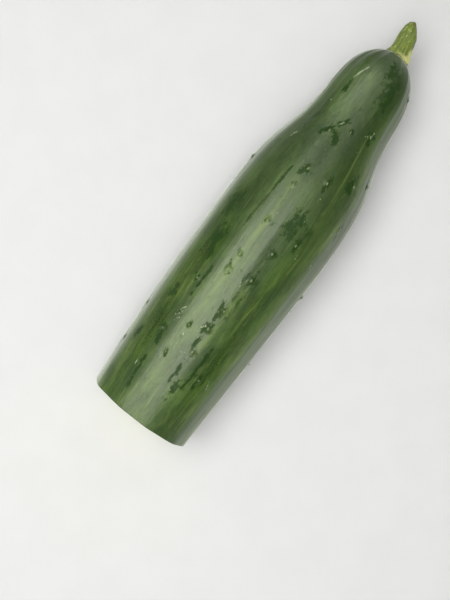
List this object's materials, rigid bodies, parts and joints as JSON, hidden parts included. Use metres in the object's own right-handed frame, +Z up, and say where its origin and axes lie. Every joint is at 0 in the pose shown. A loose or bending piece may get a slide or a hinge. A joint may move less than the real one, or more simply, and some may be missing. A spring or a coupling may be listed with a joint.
{
  "type": "cut cucumber",
  "caption": "Stem end of a ribbed, warty garden cucumber with its stalk, cut square across the middle to show flesh and seeds, lying on its side.",
  "frame": {"origin": "middle of the piece's box, on the surface it lies on", "axes": "+X along the fruit from the cut face to the stem, +Z up; the piece lies on its side"},
  "size_m": [0.2, 0.0526, 0.0514],
  "materials": {
    "skin": "dark green vegetable skin, satin under a thin pale bloom",
    "stem": "fresh yellow-green stalk, dry at its cut tip",
    "flesh": "moist pale green flesh of the cut face",
    "seeds": "soft wet cream seeds in the cut face"
  },
  "bodies": {
    "root": {"fruit": "skin", "stem": "stem"}
  },
  "joints": []
}
